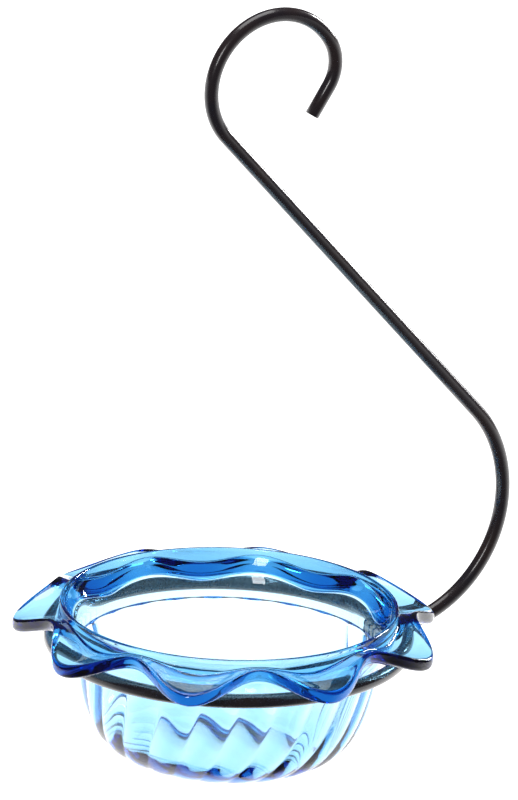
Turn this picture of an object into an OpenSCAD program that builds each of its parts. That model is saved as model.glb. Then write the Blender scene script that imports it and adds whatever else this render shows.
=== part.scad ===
// Hanging bird bath: a moulded glass dish that drops into a steel hoop, which a long S-shaped rod hangs up.
// The origin is on the dish's axis, at the underside of its base. +Z is up, and the hanger rod lies in the XZ plane, on the +X side.

/* [Dish] */
// Outer diameter of the dish's rim
rim_d = 148; // [120:1:180]
// Height of the dish from its base to its rim
dish_h = 70; // [56:1:86]
// Thickness of the rim
rim_wall = 1.8; // [1.5:0.1:2.6]
// Thickness of the bowl's wall
bowl_wall = 2.8; // [2.3:0.1:3.6]
// Thickness of the bowl's floor
floor_t = 3; // [2.4:0.1:4.5]
// Diameter of the flat base
base_d = 75.4; // [66:0.2:84]
// How far the neck below the flange stands in from the rim
neck_inset = 5.4; // [4:0.1:7]
// Depth of the neck below the rim, where the bowl's curve begins
neck_drop = 17; // [15:0.1:21]
// Slope of the bowl's side at the neck, in degrees from upright
side_draft = 8.5; // [6:0.5:12]
// How straight the bowl's side runs down, as a share of its depth
side_fullness = 0.7; // [0.55:0.01:0.8]
// How square the bowl's lower corner is, as a share of the rim's radius
corner_fullness = 0.3; // [0.22:0.01:0.36]
// Slope of the bowl's side where it leaves the flat base, in degrees
base_slope = 16; // [8:1:20]
// Rounding between the neck and the flange's underside
neck_fillet = 1.9; // [1.4:0.1:2.4]

/* [Flange] */
// Petals around the ruffled flange
petal_count = 9; // [6:1:12]
// How far each petal reaches past the rim
petal_reach = 20.4; // [15:0.1:26]
// How far each notch between two petals reaches past the rim
notch_reach = 8; // [6:0.1:11]
// Drop of a petal's tip below the rim
tip_drop = 9.6; // [7.5:0.1:11.5]
// Drop of a notch's crest below the rim
crest_drop = 0.9; // [0.7:0.1:2.5]
// Height of the collar from a petal's root to the rim
collar_h = 8; // [6.5:0.1:9.5]
// How much higher the flange meets the collar at a notch
collar_rise = 4.4; // [3.5:0.1:5.2]
// Thickness of a petal at its tip
tip_t = 6.3; // [5:0.1:7.6]
// Thickness of the flange at a notch
crest_t = 5.7; // [4.7:0.1:6.9]
// Depth of a petal's underside below the rim, where it leaves the neck
petal_root_drop = 13.3; // [12:0.1:14.5]
// How much higher a notch's underside leaves the neck than a petal's does
crest_root_rise = 3.3; // [2.6:0.1:4]
// Rounding of the flange's edge
edge_round = 1.6; // [1.2:0.1:2]

/* [Flutes] */
// Swirled flutes around the outside of the bowl
flute_count = 24; // [12:1:36]
// Depth of the crease between two flutes
flute_depth = 1; // [0.4:0.1:1.2]
// How far the neck stands proud of the fluted side
ledge = 0.8; // [0:0.1:1]
// Turn of each flute on its way from the neck to the base, in degrees
flute_twist = 24; // [0:1:45]

/* [Hanger] */
// Diameter of the steel rod of the hoop and the hanger
rod_d = 6.35; // [5:0.05:8]
// Play between the neck and the hoop, all round
neck_gap = 5.7; // [2:0.1:7.5]
// Clearance between the petals' undersides and the hoop that carries them
seat_gap = 0.3; // [0.2:0.05:0.6]
// Length of rod that passes the hoop's centreline, towards the dish
tail_over = 3.2; // [1:0.1:5]
// Straight length of rod beyond the hoop's centreline, before the lower bend
tail_out = 0.9; // [0:0.1:4]
// Radius of the lower bend, to the rod's centreline
sweep_r = 57.4; // [48:0.1:69]
// Radius of the top loop, to the rod's centreline
loop_r = 31.4; // [26:0.1:38]
// Distance of the top loop's centre from the dish's axis
loop_x = 12.6; // [8:0.1:18]
// Height of the top loop's centre above the hoop
loop_rise = 253.8; // [210:0.1:305]
// Radius of the tighter bend at the nose, to the rod's centreline
nose_r = 19.6; // [16:0.1:24]
// Where the nose bend begins, in degrees above the horizontal
nose_start = 30; // [10:1:45]
// Where the nose bend ends, in degrees below the horizontal
nose_end = 32.5; // [15:0.5:45]
// Length of the straight tip
tip_l = 14.4; // [8:0.1:18]

/* [Welds] */
// Gap between the hoop's two ends, which the closing weld fills
root_gap = 1.2; // [0.8:0.1:2]
// Length of the closing weld's cap along the hoop
cap_l = 4.6; // [3.5:0.1:6]
// Height of the closing weld's cap above the rod
cap_h = 0.5; // [0.3:0.1:0.8]
// Radius of the beads that join the hanger to the hoop
bead_r = 2.3; // [1.8:0.1:2.8]
// Length of the beads that join the hanger to the hoop
bead_l = 6.4; // [5:0.1:7.5]

/* [Hidden] */

around = 144;        // steps around the dish
bowl_steps = 8;      // steps down the bowl's side
throat_steps = 4;    // steps down the inside of the collar
ledge_start = 0.035; // where the neck's ledge begins, as a share of the side's curve
ledge_end = 0.043;   // where the neck's ledge ends
ledge_run = 0.5;     // the share of the side over which the ledge's step runs out
flute_run = 0.06;    // the share of the side over which the flutes run out at the base
rim_chamfer = 0.15;  // rounding of the rim, as a share of its thickness
flange_dip = 0.4;    // how far the flange's top dips halfway out
rod_sides = 24;      // sides of the swept rod
bend_step = 7;       // degrees between stations in a bend
tail_stations = 4;   // stations that the welds reach along the hanger
rim_r = rim_d / 2;
neck_r = rim_r - neck_inset;
base_r = base_d / 2;
tip_r = rim_r + petal_reach;
notch_r = rim_r + notch_reach;
petal_turn = -90 / petal_count; // puts the hanger halfway between a petal and a notch
side_handle = side_fullness * (dish_h - neck_drop);
base_handle = corner_fullness * rim_r;

// The rows of the bowl's outside, from the base up
side_rows = concat([for (i = [bowl_steps:-1:1]) i / bowl_steps], [ledge_end, ledge_start, 0]);

// The hoop's centreline circle, under the petals and around the neck
hoop_r = neck_r + neck_gap + rod_d / 2;
petal_slope = (tip_drop + tip_t - petal_root_drop) / (tip_r - edge_round - rim_r);
petal_under = dish_h - petal_root_drop - petal_slope * (hoop_r - rim_r);
hoop_z = petal_under - (rod_d / 2 + seat_gap) * sqrt(1 + pow(petal_slope, 2));

bead_out = 0.47 * rod_d; // how far each fillet bead lies from the hoop's centreline

// The hanger's centreline, as [x, z] points and bend centres
tail_z = hoop_z - rod_d;
tail_start = [hoop_r - tail_over, tail_z];
tail_end = [hoop_r + tail_out, tail_z];
sweep_c = tail_end + [0, sweep_r];
loop_c = [loop_x, hoop_z + loop_rise];
span = loop_c - sweep_c;
stem_turn = atan2(span[1], span[0]) - acos((sweep_r + loop_r) / norm(span)); // the way that the stem faces outwards
nose_c = loop_c + (loop_r - nose_r) * ray(nose_start);
nose_tip = nose_c + nose_r * ray(-nose_end);
tip_way = -90 - nose_end;

function ray(a) = [cos(a), sin(a)];
function mix(a, b, s) = a + (b - a) * s;
function ease(s) = (1 - cos(180 * s)) / 2;
function bezier(a, b, c, d, t) =
    pow(1 - t, 3) * a + 3 * pow(1 - t, 2) * t * b + 3 * (1 - t) * t * t * c + pow(t, 3) * d;

// 0 at a notch and 1 at a petal's tip
function petal(a) = (1 + cos(petal_count * (a - petal_turn))) / 2;
function edge_r(a) = mix(notch_r, tip_r, petal(a));
function edge_top(a) = dish_h - mix(crest_drop, tip_drop, petal(a));
function edge_under(a) = edge_top(a) - mix(crest_t, tip_t, petal(a));
function root_top(a) = dish_h - collar_h + collar_rise * (1 - petal(a));
function root_under(a) = dish_h - petal_root_drop + crest_root_rise * (1 - petal(a));
function share(x) = min(max(x, 0), 1);

// How far the outside of the bowl stands in from its side: a ledge below the neck, and creases between the flutes
function flute(a, t) =
    let (start = share((t - ledge_start) / (ledge_end - ledge_start)), lobe = abs(cos(flute_count * (a + flute_twist * t) / 2)))
    start * (ledge * share((1 - t) / ledge_run) + flute_depth * share((1 - t) / flute_run) * (1 - lobe));

// The bowl's side from the neck, t = 0, to the base, t = 1, seen from outside or from inside
function bowl_side(t, wall, floor_z) = bezier(
    [neck_r - wall, dish_h - neck_drop],
    [neck_r - wall - side_handle * sin(side_draft), dish_h - neck_drop - side_handle * cos(side_draft)],
    [base_r - wall, floor_z] + base_handle * ray(base_slope),
    [base_r - wall, floor_z],
    t);

// One slice of the dish as [radius, height] points, from the base round the outside to the inside of the floor
function slice(a) = concat(
    [for (t = side_rows) bowl_side(t, 0, 0) - [flute(a, t), 0]],
    [[neck_r + neck_fillet / 4, dish_h - neck_drop + neck_fillet],
     [neck_r + neck_fillet, root_under(a) - neck_fillet / 3],
     [rim_r, root_under(a)],
     [edge_r(a) - edge_round, edge_under(a)],
     [edge_r(a), edge_under(a) + edge_round],
     [edge_r(a), edge_top(a) - edge_round],
     [edge_r(a) - edge_round, edge_top(a)],
     [mix(rim_r, edge_r(a), 0.5), mix(root_top(a), edge_top(a), 0.5) - flange_dip],
     [rim_r, root_top(a)],
     [rim_r, dish_h - rim_wall / 2],
     [rim_r - rim_wall * rim_chamfer, dish_h - rim_wall * rim_chamfer],
     [rim_r - rim_wall / 2, dish_h],
     [rim_r - rim_wall * (1 - rim_chamfer), dish_h - rim_wall * rim_chamfer]],
    [for (i = [0:throat_steps - 1]) let (s = i / throat_steps)
        [mix(rim_r - rim_wall, neck_r - bowl_wall, ease(s)), dish_h - mix(rim_wall / 2, neck_drop, s)]],
    [for (i = [0:bowl_steps]) bowl_side(i / bowl_steps, bowl_wall, floor_t)]);

// Stations along the hanger's centreline, each [[x, z], direction across the rod]
function bend_stations(centre, radius, from, to, turn, first = 0) =
    let (steps = ceil(abs(to - from) / bend_step))
    [for (i = [first:steps]) let (a = mix(from, to, i / steps)) [centre + radius * ray(a), a + turn]];
function hanger_stations() = concat(
    [[tail_start, -90]],
    bend_stations(sweep_c, sweep_r, -90, stem_turn, 0),
    bend_stations(loop_c, loop_r, stem_turn + 180, nose_start, -180),
    bend_stations(nose_c, nose_r, nose_start, -nose_end, -180, 1),
    [[nose_tip + tip_l * ray(tip_way), -nose_end - 180]]);

// The glass dish: one moulded piece, with bowl, neck, ruffled flange, collar and rim
module glass_dish() {
    points = len(slice(0));
    rings = [for (k = [0:around - 1]) for (p = slice(360 * k / around))
        [p[0] * cos(360 * k / around), p[0] * sin(360 * k / around), p[1]]];
    base_point = around * points;
    floor_point = base_point + 1;
    sides = [for (k = [0:around - 1]) for (j = [0:points - 2])
        let (here = k * points + j, next = (k + 1) % around * points + j)
        each [[here, next + 1, next], [here, here + 1, next + 1]]];
    caps = [for (k = [0:around - 1])
        let (here = k * points, next = (k + 1) % around * points)
        each [[base_point, here, next], [floor_point, next + points - 1, here + points - 1]]];
    color([0.45, 0.75, 0.98, 0.6])
        polyhedron(concat(rings, [[0, 0, 0], [0, 0, floor_t]]), concat(sides, caps), convexity = 6);
}

// A rod swept in the XZ plane through a list of stations
module swept_rod(stations) {
    last = len(stations) - 1;
    points = [for (s = stations) for (j = [0:rod_sides - 1])
        let (across = rod_d / 2 * cos(360 * j / rod_sides) * ray(s[1]))
        [s[0][0] + across[0], rod_d / 2 * sin(360 * j / rod_sides), s[0][1] + across[1]]];
    sides = [for (i = [0:last - 1]) for (j = [0:rod_sides - 1])
        let (here = i * rod_sides + j, beside = i * rod_sides + (j + 1) % rod_sides)
        each [[here, beside + rod_sides, beside], [here, here + rod_sides, beside + rod_sides]]];
    ends = [[for (j = [0:rod_sides - 1]) j], [for (j = [rod_sides - 1:-1:0]) last * rod_sides + j]];
    polyhedron(points, concat(sides, ends), convexity = 8);
}

// The hanger's tail and the start of its lower bend, which the welds are cut to
module tail_bar() {
    stations = hanger_stations();
    swept_rod([for (i = [0:tail_stations - 1]) stations[i]]);
}

// The hoop's bar, whose two ends face each other above the hanger's tail
module hoop_bar()
    let (half_gap = asin(root_gap / 2 / hoop_r))
        translate([0, 0, hoop_z])
            rotate([0, 0, half_gap])
                rotate_extrude(angle = 360 - 2 * half_gap, $fn = 144)
                    translate([hoop_r, 0])
                        circle(d = rod_d, $fn = 32);

module ring_hoop() {
    color([0.07, 0.06, 0.065]) hoop_bar();
}

// The hanger: one bent rod
module hanger_hook() {
    color([0.07, 0.06, 0.065]) swept_rod(hanger_stations());
}

// A barrel along Y around the hoop's bar, over its two ends
module weld_cap()
    translate([hoop_r, 0, hoop_z])
        rotate([90, 0, 0])
            rotate_extrude($fn = 48)
                polygon([[0, -cap_l / 2], [rod_d / 2 + cap_h / 5, -cap_l / 2], [rod_d / 2 + cap_h, -cap_l / 5],
                         [rod_d / 2 + cap_h, cap_l / 5], [rod_d / 2 + cap_h / 5, cap_l / 2], [0, cap_l / 2]]);

// The butt weld that closes the hoop
module hoop_weld() {
    color([0.1, 0.09, 0.095]) difference() {
        weld_cap();
        hoop_bar();
        tail_bar();
    }
}

// The two fillet beads in the corners between the hoop and the hanger's tail below it
module hook_weld() {
    color([0.1, 0.09, 0.095]) difference() {
        for (side = [-1, 1])
            translate([hoop_r + side * bead_out, 0, hoop_z - rod_d / 2])
                rotate([90, 0, 0])
                    cylinder(r = bead_r, h = bead_l, center = true, $fn = 32);
        weld_cap();
        hoop_bar();
        tail_bar();
    }
}

glass_dish();
ring_hoop();
hoop_weld();
hanger_hook();
hook_weld();
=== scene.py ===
"""The looks of a hanging bird bath: a blue glass dish in a black steel hanger, built around its CAD frame."""

import math

import bpy
import numpy as np
from mathutils import Matrix, Vector


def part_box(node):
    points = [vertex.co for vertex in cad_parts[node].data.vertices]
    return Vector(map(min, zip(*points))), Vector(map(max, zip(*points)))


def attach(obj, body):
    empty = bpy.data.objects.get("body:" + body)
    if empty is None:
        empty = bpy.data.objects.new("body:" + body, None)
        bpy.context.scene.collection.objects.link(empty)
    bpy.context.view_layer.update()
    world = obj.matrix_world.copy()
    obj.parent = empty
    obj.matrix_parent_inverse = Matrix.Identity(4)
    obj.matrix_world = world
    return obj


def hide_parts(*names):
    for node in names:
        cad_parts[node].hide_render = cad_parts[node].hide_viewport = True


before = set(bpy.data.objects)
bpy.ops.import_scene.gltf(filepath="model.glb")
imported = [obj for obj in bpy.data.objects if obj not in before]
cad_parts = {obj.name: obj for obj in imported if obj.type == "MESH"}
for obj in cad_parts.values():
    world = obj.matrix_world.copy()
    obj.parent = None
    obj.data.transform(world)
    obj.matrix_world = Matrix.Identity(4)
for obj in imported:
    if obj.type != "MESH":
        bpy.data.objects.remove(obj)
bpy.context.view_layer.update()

# ---------------------------------------------------------------- the dish's sizes, in metres and radians
_, DISH_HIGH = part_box("glass_dish")
HOOP_LOW, HOOP_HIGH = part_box("ring_hoop")
AROUND = 720                            # steps around the dish
RIM_Z = DISH_HIGH[2]                    # the rim's top
RIM_R = 0.074
RIM_WALL = 0.0018
RIM_ROUND = RIM_WALL * 0.45             # rounding of the rim's two edges
RIM_LIP = 0.003                         # the depth inside the rim that its rounding turns towards
BOWL_WALL = 0.0028
FLOOR_T = 0.003
BASE_R = 0.0377
BASE_INNER = 0.002                      # the radius of the first row under the base
BASE_MARGIN = 0.003                     # how far the last row under the base lies from its edge
NECK_INSET = 0.0054
NECK_R = RIM_R - NECK_INSET
NECK_DROP = 0.017                       # depth of the neck below the rim, where the bowl's curve begins
NECK_FILLET = 0.0019
THROAT_START = 0.06                     # where the curve inside the neck begins, as a share of its depth

# The bowl's side is one curve, and a place on it is a share t of it, 0 at the neck and 1 at the base
SIDE_HANDLE = 0.70 * (RIM_Z - NECK_DROP)
SIDE_DRAFT = math.radians(8.5)
BASE_HANDLE = 0.30 * RIM_R
BASE_SLOPE = math.radians(16)
FLUTES = 24
FLUTE_DEPTH = 0.0010
FLUTE_TWIST = math.radians(24)
FLUTE_RUN = 0.06                        # the share over which the flutes run out at the base
LEDGE = 0.0008                          # how far the neck's ring stands proud of the fluted side
LEDGE_T = 0.035                         # where the ring ends
LEDGE_RUN = 0.008                       # the share over which the ledge steps in
LEDGE_FADE = 0.5                        # the share over which the ledge's step runs out at the base
SIDE_START = LEDGE_T + 0.02             # where the evenly spaced rows below the ledge begin

# The flange, whose sizes are given at a notch's crest and at a petal's tip
PETALS = 9
PETAL_TURN = math.radians(-10)
NOTCH_R, TIP_R = 0.082, 0.0944
EDGE_DROP = 0.0009, 0.0096              # from the rim down to the edge's top
EDGE_T = 0.0057, 0.0063
ROOT_TOP = 0.0036, 0.0080               # from the rim down to where the flange meets the collar
ROOT_UNDER = 0.0100, 0.0133             # from the rim down to where its underside meets the neck
MIDDLE, MIDDLE_DIP = 0.45, 0.0004       # a place partway out, as a share, and how far the top dips there
EDGE_ROUND = 0.0027
NECK_ROUND, ROOT_ROUND, MIDDLE_ROUND, COLLAR_ROUND = 0.0016, 0.003, 0.005, 0.0012
MOST_OF_SIDE = 0.48                     # the largest share of the way between corners that a rounding takes

# ---------------------------------------------------------------- the rods' sizes
ROD_R = (HOOP_HIGH[2] - HOOP_LOW[2]) / 2
ROD_SIDES = 40
CUT_CHAMFER = 0.00035                   # on the rods' cut ends
HOOP_Z = (HOOP_HIGH[2] + HOOP_LOW[2]) / 2
NECK_GAP = 0.0057                       # between the neck and the hoop, all round
HOOP_R = NECK_R + NECK_GAP + ROD_R
HOOP_STATIONS = 241
WELD_GAP = 0.0012                       # between the hoop's two ends
TAIL_OVER, TAIL_OUT = 0.0032, 0.0009    # the hanger's straight tail, inside and outside the hoop's centreline
SWEEP_R, LOOP_R, NOSE_R = 0.0574, 0.0314, 0.0196
LOOP_X, LOOP_RISE = 0.0126, 0.2538      # the top loop's centre, from the axis and above the hoop
NOSE_START, NOSE_END = math.radians(30), math.radians(-32.5)
TIP_L = 0.0144
BEND_STEP = math.radians(2.5)


# ---------------------------------------------------------------- camera
def make_camera(azimuth, elevation, roll, distance, rim_shift, frame_height):
    """A long lens that looks along azimuth and elevation, with the rim's centre set off from the middle."""
    a, e = math.radians(azimuth), math.radians(elevation)
    back = Vector((math.sin(a) * math.cos(e), -math.cos(a) * math.cos(e), math.sin(e)))
    level = Vector((math.cos(a), math.sin(a), 0))
    lift = back.cross(level)
    right = math.cos(roll) * level + math.sin(roll) * lift
    up = -math.sin(roll) * level + math.cos(roll) * lift
    target = Vector((0, 0, RIM_Z)) - rim_shift[0] * right - rim_shift[1] * up
    data = bpy.data.cameras.new("camera")
    data.sensor_width = 36
    data.lens = data.sensor_width * distance / frame_height
    data.clip_start, data.clip_end = 0.05, 50
    camera = bpy.data.objects.new("camera", data)
    bpy.context.scene.collection.objects.link(camera)
    turn = Matrix((right, up, back)).transposed().to_4x4()
    camera.matrix_world = Matrix.Translation(target + back * distance) @ turn
    bpy.context.scene.camera = camera


make_camera(azimuth=-30, elevation=19, roll=math.radians(2.25), distance=9.0,
            rim_shift=(-0.0129, -0.0885), frame_height=0.3485)


# ---------------------------------------------------------------- mesh helpers
def link_mesh(name, points, faces, material):
    """A smooth-shaded mesh object."""
    mesh = bpy.data.meshes.new(name)
    mesh.from_pydata([tuple(p) for p in points], [], faces)
    mesh.validate()
    mesh.polygons.foreach_set("use_smooth", [True] * len(mesh.polygons))
    mesh.materials.append(material)
    piece = bpy.data.objects.new(name, mesh)
    bpy.context.scene.collection.objects.link(piece)
    return piece


def bezier(a, b, c, d, t):
    return (1 - t) ** 3 * a + 3 * (1 - t) ** 2 * t * b + 3 * (1 - t) * t * t * c + t ** 3 * d


def mix(a, b, s):
    return a + (b - a) * s


def ray(angle):
    return np.array([math.cos(angle), math.sin(angle)])


def row(radii, heights):
    """Points of [radius, height], one for each azimuth."""
    return np.stack(np.broadcast_arrays(radii, heights), -1).astype(float)


def rounded(keys):
    """Rows through keys, each (row, rounding, steps). The corner at a key is rounded unless rounding is 0."""
    rows = []
    for i, (here, rounding, steps) in enumerate(keys):
        if not rounding:
            rows.append(here)
            continue
        before, after = keys[i - 1][0] - here, keys[i + 1][0] - here
        reach_before = np.linalg.norm(before, axis=-1, keepdims=True)
        reach_after = np.linalg.norm(after, axis=-1, keepdims=True)
        start = here + before * np.minimum(rounding / reach_before, MOST_OF_SIDE)
        end = here + after * np.minimum(rounding / reach_after, MOST_OF_SIDE)
        for t in np.linspace(0, 1, steps):
            rows.append((1 - t) ** 2 * start + 2 * (1 - t) * t * here + t * t * end)
    return rows


# ---------------------------------------------------------------- the dish
def bowl_side(t, wall, floor_z):
    """[radius, height] on the bowl's side, as seen from outside (wall 0) or inside."""
    neck = np.array([NECK_R - wall, RIM_Z - NECK_DROP])
    base = np.array([BASE_R - wall, floor_z])
    below_neck = neck - SIDE_HANDLE * np.array([math.sin(SIDE_DRAFT), math.cos(SIDE_DRAFT)])
    beside_base = base + BASE_HANDLE * ray(BASE_SLOPE)
    return bezier(neck, below_neck, beside_base, base, t)


def flute(around, t):
    """How far the outside lies inside the side's curve: a shallow ledge all round, and creases."""
    lobe = np.abs(np.cos(FLUTES * (around + FLUTE_TWIST * t) / 2))
    start = np.clip((t - LEDGE_T) / LEDGE_RUN, 0, 1)
    depth = start * np.clip((1 - t) / FLUTE_RUN, 0, 1)
    fade = np.clip((1 - t) / LEDGE_FADE, 0, 1)
    return LEDGE * start * fade + FLUTE_DEPTH * depth * (1 - lobe)


def outside_rows(around):
    """Rows under the base and up the fluted outside, to the neck."""
    flat = np.zeros_like(around)
    rows = [row(flat + r, 0) for r in np.linspace(BASE_INNER, BASE_R - BASE_MARGIN, 8)]
    foot = np.linspace(1, 1 - FLUTE_RUN, 4, endpoint=False)
    side = np.linspace(1 - FLUTE_RUN, SIDE_START, 45)
    step = LEDGE_T + np.linspace(LEDGE_RUN, 0, 5)
    for t in np.concatenate([foot, side, step, [LEDGE_T / 2, 0]]):
        r, z = bowl_side(t, 0, 0)
        rows.append(row(r - flute(around, t), z))
    return rows


def flange_rows(neck_top, around):
    """Rows from the neck out under the flange, round its edge, in over its top, and up over the rim."""
    petal = (1 + np.cos(PETALS * (around - PETAL_TURN))) / 2
    edge_r = mix(NOTCH_R, TIP_R, petal)
    edge_top = RIM_Z - mix(*EDGE_DROP, petal)
    edge_under = edge_top - mix(*EDGE_T, petal)
    root_top = RIM_Z - mix(*ROOT_TOP, petal)
    root_under = RIM_Z - mix(*ROOT_UNDER, petal)
    flat = np.zeros_like(around)
    return rounded([
        (neck_top, 0, 0),
        (row(NECK_R + 0.25 * NECK_FILLET + flat, RIM_Z - NECK_DROP + NECK_FILLET), 0, 0),
        (row(NECK_R + NECK_FILLET, root_under - NECK_FILLET / 3), NECK_ROUND, 5),
        (row(RIM_R, root_under), ROOT_ROUND, 5),
        (row(edge_r, edge_under), EDGE_ROUND, 9),
        (row(edge_r, edge_top), EDGE_ROUND, 9),
        (row(mix(RIM_R, edge_r, MIDDLE), mix(root_top, edge_top, MIDDLE) - MIDDLE_DIP), MIDDLE_ROUND, 7),
        (row(RIM_R, root_top), COLLAR_ROUND, 5),
        (row(RIM_R + flat, RIM_Z), RIM_ROUND, 6),
        (row(RIM_R - RIM_WALL + flat, RIM_Z), RIM_ROUND, 6),
        (row(RIM_R - RIM_WALL + flat, RIM_Z - RIM_LIP), 0, 0)])[1:-1]


def inside_rows(around):
    """Rows down the inside of the neck and the bowl, to the floor."""
    flat = np.zeros_like(around)
    rows = []
    for s in np.linspace(THROAT_START, 1, 17)[:-1]:
        ease = (1 - math.cos(math.pi * s)) / 2
        rows.append(row(flat + mix(RIM_R - RIM_WALL, NECK_R - BOWL_WALL, ease), RIM_Z - NECK_DROP * s))
    for t in np.linspace(0, 1, 33):
        r, z = bowl_side(t, BOWL_WALL, FLOOR_T)
        rows.append(row(flat + r, z))
    return rows


def make_dish(material):
    """A closed body turned from rows at each azimuth, with a pole on the axis at each end."""
    around = np.arange(AROUND) * 2 * math.pi / AROUND
    outside = outside_rows(around)
    section = np.stack(outside + flange_rows(outside[-1], around) + inside_rows(around), 1)
    rows = section.shape[1]
    x = section[:, :, 0] * np.cos(around)[:, None]
    y = section[:, :, 0] * np.sin(around)[:, None]
    points = np.stack([x, y, section[:, :, 1]], -1).reshape(-1, 3).tolist()
    points += [(0, 0, 0), (0, 0, FLOOR_T)]
    low, high = AROUND * rows, AROUND * rows + 1
    faces = []
    for k in range(AROUND):
        here, beside = k * rows, (k + 1) % AROUND * rows
        faces += [(here + j, beside + j, beside + j + 1, here + j + 1) for j in range(rows - 1)]
        faces += [(low, beside, here), (high, here + rows - 1, beside + rows - 1)]
    return link_mesh("dish", points, faces, material)


# ---------------------------------------------------------------- the rods
def bend(centre, radius, start, end, turn):
    """Stations round a bend, each ([x, z], direction across the rod)."""
    steps = math.ceil(abs(end - start) / BEND_STEP)
    return [(centre + radius * ray(a), a + turn) for a in np.linspace(start, end, steps + 1)]


def hanger_stations():
    """Stations along the hanger's centreline, from the tail under the hoop to the tip of the hook."""
    tail_z = HOOP_Z - 2 * ROD_R
    tail_end = np.array([HOOP_R + TAIL_OUT, tail_z])
    sweep_c = tail_end + [0, SWEEP_R]
    loop_c = np.array([LOOP_X, HOOP_Z + LOOP_RISE])
    span = loop_c - sweep_c
    stem = math.atan2(span[1], span[0]) - math.acos((SWEEP_R + LOOP_R) / np.linalg.norm(span))
    nose_c = loop_c + (LOOP_R - NOSE_R) * ray(NOSE_START)
    tip = nose_c + NOSE_R * ray(NOSE_END) + TIP_L * ray(NOSE_END - math.pi / 2)
    stations = [(np.array([HOOP_R - TAIL_OVER, tail_z]), -math.pi / 2)]
    stations += bend(sweep_c, SWEEP_R, -math.pi / 2, stem, 0)
    stations += bend(loop_c, LOOP_R, stem + math.pi, NOSE_START, -math.pi)
    stations += bend(nose_c, NOSE_R, NOSE_START, NOSE_END, -math.pi)[1:]
    stations.append((tip, NOSE_END - math.pi))
    return stations


def swept_rod(name, centres, across, beside, material):
    """A round rod through centres, with its two cut ends flat and their edges lightly broken."""
    start_way = np.cross(across[0], beside[0])
    end_way = np.cross(across[-1], beside[-1])
    rings = [(centres[0], across[0], beside[0], ROD_R - CUT_CHAMFER)]
    rings += [(centres[0] + start_way * CUT_CHAMFER, across[0], beside[0], ROD_R)]
    rings += [(c, u, v, ROD_R) for c, u, v in zip(centres[1:-1], across[1:-1], beside[1:-1])]
    rings += [(centres[-1] - end_way * CUT_CHAMFER, across[-1], beside[-1], ROD_R)]
    rings += [(centres[-1], across[-1], beside[-1], ROD_R - CUT_CHAMFER)]
    turns = np.arange(ROD_SIDES) * 2 * math.pi / ROD_SIDES
    points = []
    for c, u, v, r in rings:
        points += [c + r * (math.cos(a) * u + math.sin(a) * v) for a in turns]
    points += [centres[0], centres[-1]]
    first, last = len(points) - 2, len(points) - 1
    top = (len(rings) - 1) * ROD_SIDES
    faces = []
    for i in range(len(rings) - 1):
        for j in range(ROD_SIDES):
            a, b = i * ROD_SIDES + j, i * ROD_SIDES + (j + 1) % ROD_SIDES
            faces.append((a, b, b + ROD_SIDES, a + ROD_SIDES))
    for j in range(ROD_SIDES):
        faces += [(first, (j + 1) % ROD_SIDES, j), (last, top + j, top + (j + 1) % ROD_SIDES)]
    return link_mesh(name, points, faces, material)


def make_hanger(material):
    stations = hanger_stations()
    centres = [np.array([p[0], 0, p[1]]) for p, _ in stations]
    across = [np.array([math.cos(a), 0, math.sin(a)]) for _, a in stations]
    beside = [np.array([0, 1, 0])] * len(stations)
    return swept_rod("hanger_rod", centres, across, beside, material)


def make_hoop(material):
    half_gap = math.asin(WELD_GAP / 2 / HOOP_R)
    angles = np.linspace(half_gap, 2 * math.pi - half_gap, HOOP_STATIONS)
    centres = [np.array([HOOP_R * math.cos(a), HOOP_R * math.sin(a), HOOP_Z]) for a in angles]
    across = [np.array([math.cos(a), math.sin(a), 0]) for a in angles]
    beside = [np.array([0, 0, -1.0])] * len(angles)
    return swept_rod("hoop_rod", centres, across, beside, material)


# ---------------------------------------------------------------- materials
def new_material(name):
    material = bpy.data.materials.new(name)
    material.use_nodes = True
    nodes = material.node_tree.nodes
    return material, nodes, material.node_tree.links, nodes["Principled BSDF"]


def noise(nodes, links, scale, detail):
    """Noise in the object's own coordinates, as a socket."""
    place = nodes.new("ShaderNodeTexCoord")
    texture = nodes.new("ShaderNodeTexNoise")
    texture.inputs["Scale"].default_value = scale
    texture.inputs["Detail"].default_value = detail
    links.new(place.outputs["Object"], texture.inputs["Vector"])
    return texture.outputs["Fac"]


def bump(nodes, links, height, strength, distance):
    """A surface normal bumped by height, as a socket."""
    node = nodes.new("ShaderNodeBump")
    node.inputs["Strength"].default_value = strength
    node.inputs["Distance"].default_value = distance
    links.new(height, node.inputs["Height"])
    return node.outputs["Normal"]


def glass_material():
    """Blue glass that colours light by the depth it passes through, with a gently wavy surface."""
    material, nodes, links, shader = new_material("blue_glass")
    shader.inputs["Base Color"].default_value = (0.97, 0.99, 1.0, 1)
    shader.inputs["Roughness"].default_value = 0.0
    shader.inputs["IOR"].default_value = 1.5
    shader.inputs["Transmission Weight"].default_value = 1.0
    waves = noise(nodes, links, scale=55, detail=1)
    links.new(bump(nodes, links, waves, strength=0.25, distance=0.0004), shader.inputs["Normal"])
    volume = nodes.new("ShaderNodeVolumeAbsorption")
    volume.inputs["Color"].default_value = (0.025, 0.57, 0.82, 1)
    volume.inputs["Density"].default_value = 200
    links.new(volume.outputs["Volume"], nodes["Material Output"].inputs["Volume"])
    return material


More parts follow.
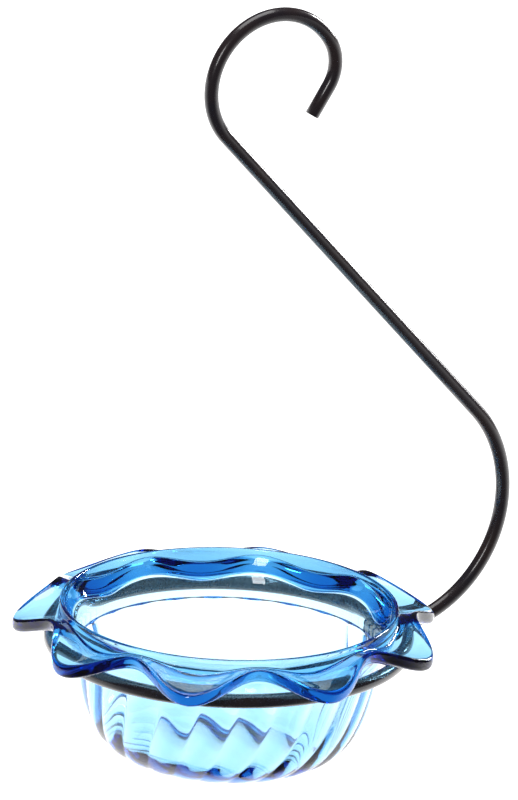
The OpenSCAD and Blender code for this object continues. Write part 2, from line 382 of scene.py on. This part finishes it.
def coat_material():
    """Glossy powder coat: nearly black, faintly brown and purple in patches, with a fine orange peel."""
    material, nodes, links, shader = new_material("black_powder_coat")
    patches = noise(nodes, links, scale=45, detail=3)
    tint = nodes.new("ShaderNodeValToRGB")
    purple, brown = tint.color_ramp.elements
    purple.position, purple.color = 0.35, (0.010, 0.0085, 0.015, 1)
    brown.position, brown.color = 0.65, (0.021, 0.0125, 0.0135, 1)
    links.new(patches, tint.inputs["Fac"])
    links.new(tint.outputs["Color"], shader.inputs["Base Color"])
    gloss = nodes.new("ShaderNodeMapRange")
    links.new(noise(nodes, links, scale=420, detail=2), gloss.inputs["Value"])
    gloss.inputs["To Min"].default_value = 0.20
    gloss.inputs["To Max"].default_value = 0.34
    links.new(gloss.outputs["Result"], shader.inputs["Roughness"])
    peel = noise(nodes, links, scale=900, detail=2)
    links.new(bump(nodes, links, peel, strength=0.15, distance=0.00008), shader.inputs["Normal"])
    shader.inputs["IOR"].default_value = 1.45
    shader.inputs["Coat Weight"].default_value = 0.5
    shader.inputs["Coat Roughness"].default_value = 0.06
    return material


GLASS = glass_material()
COAT = coat_material()

# ---------------------------------------------------------------- pieces
dish = make_dish(GLASS)
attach(dish, "dish")
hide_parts("glass_dish")

hanger = make_hanger(COAT)
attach(hanger, "hanger")
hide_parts("hanger_hook")

hoop = make_hoop(COAT)
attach(hoop, "hanger")
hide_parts("ring_hoop")

for node in ("hoop_weld", "hook_weld"):
    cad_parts[node].data.materials.clear()
    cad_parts[node].data.materials.append(COAT)

# ---------------------------------------------------------------- studio
BACKDROP = 1.8                          # the lit white sweep, bright enough to clip
CEILING = 1.5                           # its strength overhead, as the glass sees it
CEILING_FROM, CEILING_TO = 0.3, 0.8     # how steeply a ray rises where one gives way to the other
NEAR_REFLECTED, FAR_REFLECTED = 0.1, 2.0
FAR_SIDE = (0.5, 0.866, 0)              # the way from the camera to the far side of the object
FAR_FROM, FAR_TO = -0.8, 0.3            # cosines to it between which the floor's reflection brightens
SOFT = 0.5                              # what lights the matt surfaces
BOUNCES = 32                            # enough for the light that stays inside the glass


def area_light(name, place, aim, size, power):
    data = bpy.data.lights.new(name, "AREA")
    data.shape = "RECTANGLE"
    data.size, data.size_y = size
    data.energy = power
    lamp = bpy.data.objects.new(name, data)
    bpy.context.scene.collection.objects.link(lamp)
    lamp.location = place
    lamp.rotation_mode = "QUATERNION"
    lamp.rotation_quaternion = (Vector(place) - Vector(aim)).to_track_quat("Z", "Y")


def value_node(tree, kind, *inputs, **settings):
    """A new node's first output. Each input is a number, another node's output, or None to leave it."""
    node = tree.nodes.new(kind)
    for key, value in settings.items():
        setattr(node, key, value)
    for socket, value in zip(node.inputs, inputs):
        if isinstance(value, bpy.types.NodeSocket):
            tree.links.new(value, socket)
        elif value is not None:
            socket.default_value = value
    return node.outputs[0]


def by_ray(tree, direct, through, reflected, soft):
    """A strength that depends on what sees the studio: the camera, glass, a glossy surface or a matt one."""
    rays = tree.nodes.new("ShaderNodeLightPath").outputs
    strength = value_node(tree, "ShaderNodeMix", rays["Is Glossy Ray"], None, soft, reflected)
    strength = value_node(tree, "ShaderNodeMix", rays["Is Transmission Ray"], None, strength, through)
    return value_node(tree, "ShaderNodeMix", rays["Is Camera Ray"], None, strength, direct)


def behind(tree, place):
    """The floor's reflected light: bright on the far side of the object, dim on the near side."""
    level = value_node(tree, "ShaderNodeVectorMath", place, (1, 1, 0), operation="MULTIPLY")
    level = value_node(tree, "ShaderNodeVectorMath", level, operation="NORMALIZE")
    aim = tree.nodes.new("ShaderNodeVectorMath")
    aim.operation = "DOT_PRODUCT"
    tree.links.new(level, aim.inputs[0])
    aim.inputs[1].default_value = FAR_SIDE
    return value_node(tree, "ShaderNodeMapRange", aim.outputs["Value"],
                      FAR_FROM, FAR_TO, NEAR_REFLECTED, FAR_REFLECTED, interpolation_type="SMOOTHSTEP")


def make_floor(height, half):
    """A glowing white floor that is clear from below."""
    material, nodes, links, shader = new_material("floor")
    tree = material.node_tree
    nodes.remove(shader)
    place = nodes.new("ShaderNodeNewGeometry").outputs["Position"]
    glow = nodes.new("ShaderNodeEmission")
    glow.inputs["Color"].default_value = (1, 1, 1, 1)
    links.new(by_ray(tree, BACKDROP, BACKDROP, behind(tree, place), SOFT), glow.inputs["Strength"])
    clear = nodes.new("ShaderNodeBsdfTransparent")
    sides = nodes.new("ShaderNodeMixShader")
    links.new(nodes.new("ShaderNodeNewGeometry").outputs["Backfacing"], sides.inputs["Fac"])
    links.new(glow.outputs["Emission"], sides.inputs[1])
    links.new(clear.outputs["BSDF"], sides.inputs[2])
    links.new(sides.outputs["Shader"], nodes["Material Output"].inputs["Surface"])
    material.cycles.emission_sampling = "NONE"
    corners = [(x * half, y * half, height) for x, y in ((-1, -1), (1, -1), (1, 1), (-1, 1))]
    floor = link_mesh("floor", corners, [(0, 1, 2, 3)], material)


def make_world():
    """A white studio, less bright overhead where the glass sees it and dim in reflections."""
    world = bpy.data.worlds.new("world")
    bpy.context.scene.world = world
    world.use_nodes = True
    tree = world.node_tree
    way = tree.nodes.new("ShaderNodeTexCoord").outputs["Generated"]
    parts = tree.nodes.new("ShaderNodeSeparateXYZ")
    tree.links.new(way, parts.inputs["Vector"])
    shade = value_node(tree, "ShaderNodeMapRange", parts.outputs["Z"],
                       CEILING_FROM, CEILING_TO, BACKDROP, CEILING, interpolation_type="SMOOTHSTEP")
    background = tree.nodes["Background"]
    background.inputs["Color"].default_value = (1, 1, 1, 1)
    tree.links.new(by_ray(tree, BACKDROP, shade, NEAR_REFLECTED, SOFT), background.inputs["Strength"])


make_floor(height=-0.35, half=12)
make_world()
area_light("overhead", (0, 0.2, 2.2), (0, 0, 0), (1.6, 1.6), 30)
area_light("front_left", (-1.8, -1.4, 1.3), (0, 0, 0.1), (0.4, 0.9), 14)
area_light("back_right", (1.9, 0.4, 0.8), (0, 0, 0.15), (0.3, 0.8), 40)
bpy.context.scene.view_settings.view_transform = "Standard"
cycles = bpy.context.scene.cycles
cycles.max_bounces = cycles.glossy_bounces = cycles.transmission_bounces = BOUNCES
